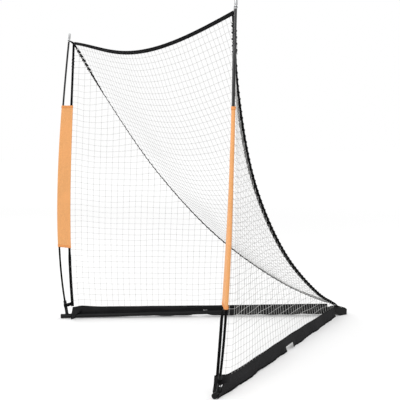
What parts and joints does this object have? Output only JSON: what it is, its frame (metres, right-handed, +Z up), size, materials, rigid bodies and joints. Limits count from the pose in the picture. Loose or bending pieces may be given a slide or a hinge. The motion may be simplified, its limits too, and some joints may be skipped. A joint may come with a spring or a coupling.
{
  "type": "lacrosse goal",
  "caption": "Knock-down lacrosse goal: bowed poles socketed into a V-shaped tube base hold up a webbing-edged net with pole sleeves and ground skirts.",
  "frame": {"origin": "on the ground under the centre of the goal's bounding box", "axes": "+X across the mouth, towards its right-hand post as seen from the back corner's far side; +Y from the mouth back to the rear corner; +Z up"},
  "size_m": [2.0576, 1.7118, 1.9046],
  "materials": {
    "frame_paint": "satin black powder coat",
    "cap_rubber": "matt black rubber",
    "moulded_black": "matt black moulding",
    "pole_glassfibre": "smooth black glass-fibre",
    "plated_steel": "zinc plate",
    "tip_aluminium": "bright silver",
    "spring_steel": "bright spring steel",
    "black_webbing": "woven black webbing",
    "skirt_cloth": "plain weave black nylon",
    "sleeve_cloth": "plain weave orange nylon",
    "net_cord": "white knotless cord"
  },
  "bodies": {
    "frame": {"right_front_leg_tube": "frame_paint", "left_front_leg_tube": "frame_paint", "right_rear_leg_tube": "frame_paint", "left_rear_leg_tube": "frame_paint", "right_leg_cap": "cap_rubber", "left_leg_cap": "cap_rubber", "right_pole_socket": "frame_paint", "left_pole_socket": "frame_paint", "right_pole_foot": "plated_steel", "left_pole_foot": "plated_steel", "right_lower_pole": "pole_glassfibre", "left_lower_pole": "pole_glassfibre", "right_upper_pole": "pole_glassfibre", "left_upper_pole": "pole_glassfibre", "right_pole_ferrule": "plated_steel", "left_pole_ferrule": "plated_steel", "right_pole_tip": "tip_aluminium", "left_pole_tip": "tip_aluminium", "right_leg_spring_clip": "spring_steel", "left_leg_spring_clip": "spring_steel", "right_socket_spring_clip": "spring_steel", "left_socket_spring_clip": "spring_steel", "right_edge_webbing": "black_webbing", "left_edge_webbing": "black_webbing", "right_diagonal_webbing": "black_webbing", "left_diagonal_webbing": "black_webbing", "right_base_skirt": "skirt_cloth", "left_base_skirt": "skirt_cloth", "right_side_net": "net_cord", "left_side_net": "net_cord", "right_pole_sleeve": "sleeve_cloth", "left_pole_sleeve": "sleeve_cloth", "right_corner_loop": "black_webbing", "left_corner_loop": "black_webbing", "right_socket_strap": "black_webbing", "left_socket_strap": "black_webbing", "rear_corner_block": "moulded_black", "top_webbing": "black_webbing", "back_net": "net_cord", "rear_pocket": "black_webbing"},
    "right_leg_button": {"right_leg_button": "spring_steel"},
    "right_socket_button": {"right_socket_button": "spring_steel"},
    "left_leg_button": {"left_leg_button": "spring_steel"},
    "left_socket_button": {"left_socket_button": "spring_steel"}
  },
  "joints": [
    {"name": "right_leg_button_press", "type": "slide", "parent": "frame", "child": "right_leg_button", "axis": [-0.8645, -0.5026, 0], "range_m": [0, 0.005], "stiffness_N_per_m": 3000, "deforming": ["right_leg_spring_clip"]},
    {"name": "right_socket_button_press", "type": "slide", "parent": "frame", "child": "right_socket_button", "axis": [-0.9153, 0.3065, 0.2613], "range_m": [0, 0.0055], "stiffness_N_per_m": 3000, "deforming": ["right_socket_spring_clip"]},
    {"name": "left_leg_button_press", "type": "slide", "parent": "frame", "child": "left_leg_button", "axis": [0.8645, -0.5026, 0], "range_m": [0, 0.005], "stiffness_N_per_m": 3000, "deforming": ["left_leg_spring_clip"]},
    {"name": "left_socket_button_press", "type": "slide", "parent": "frame", "child": "left_socket_button", "axis": [0.9153, 0.3065, 0.2613], "range_m": [0, 0.0055], "stiffness_N_per_m": 3000, "deforming": ["left_socket_spring_clip"]}
  ]
}
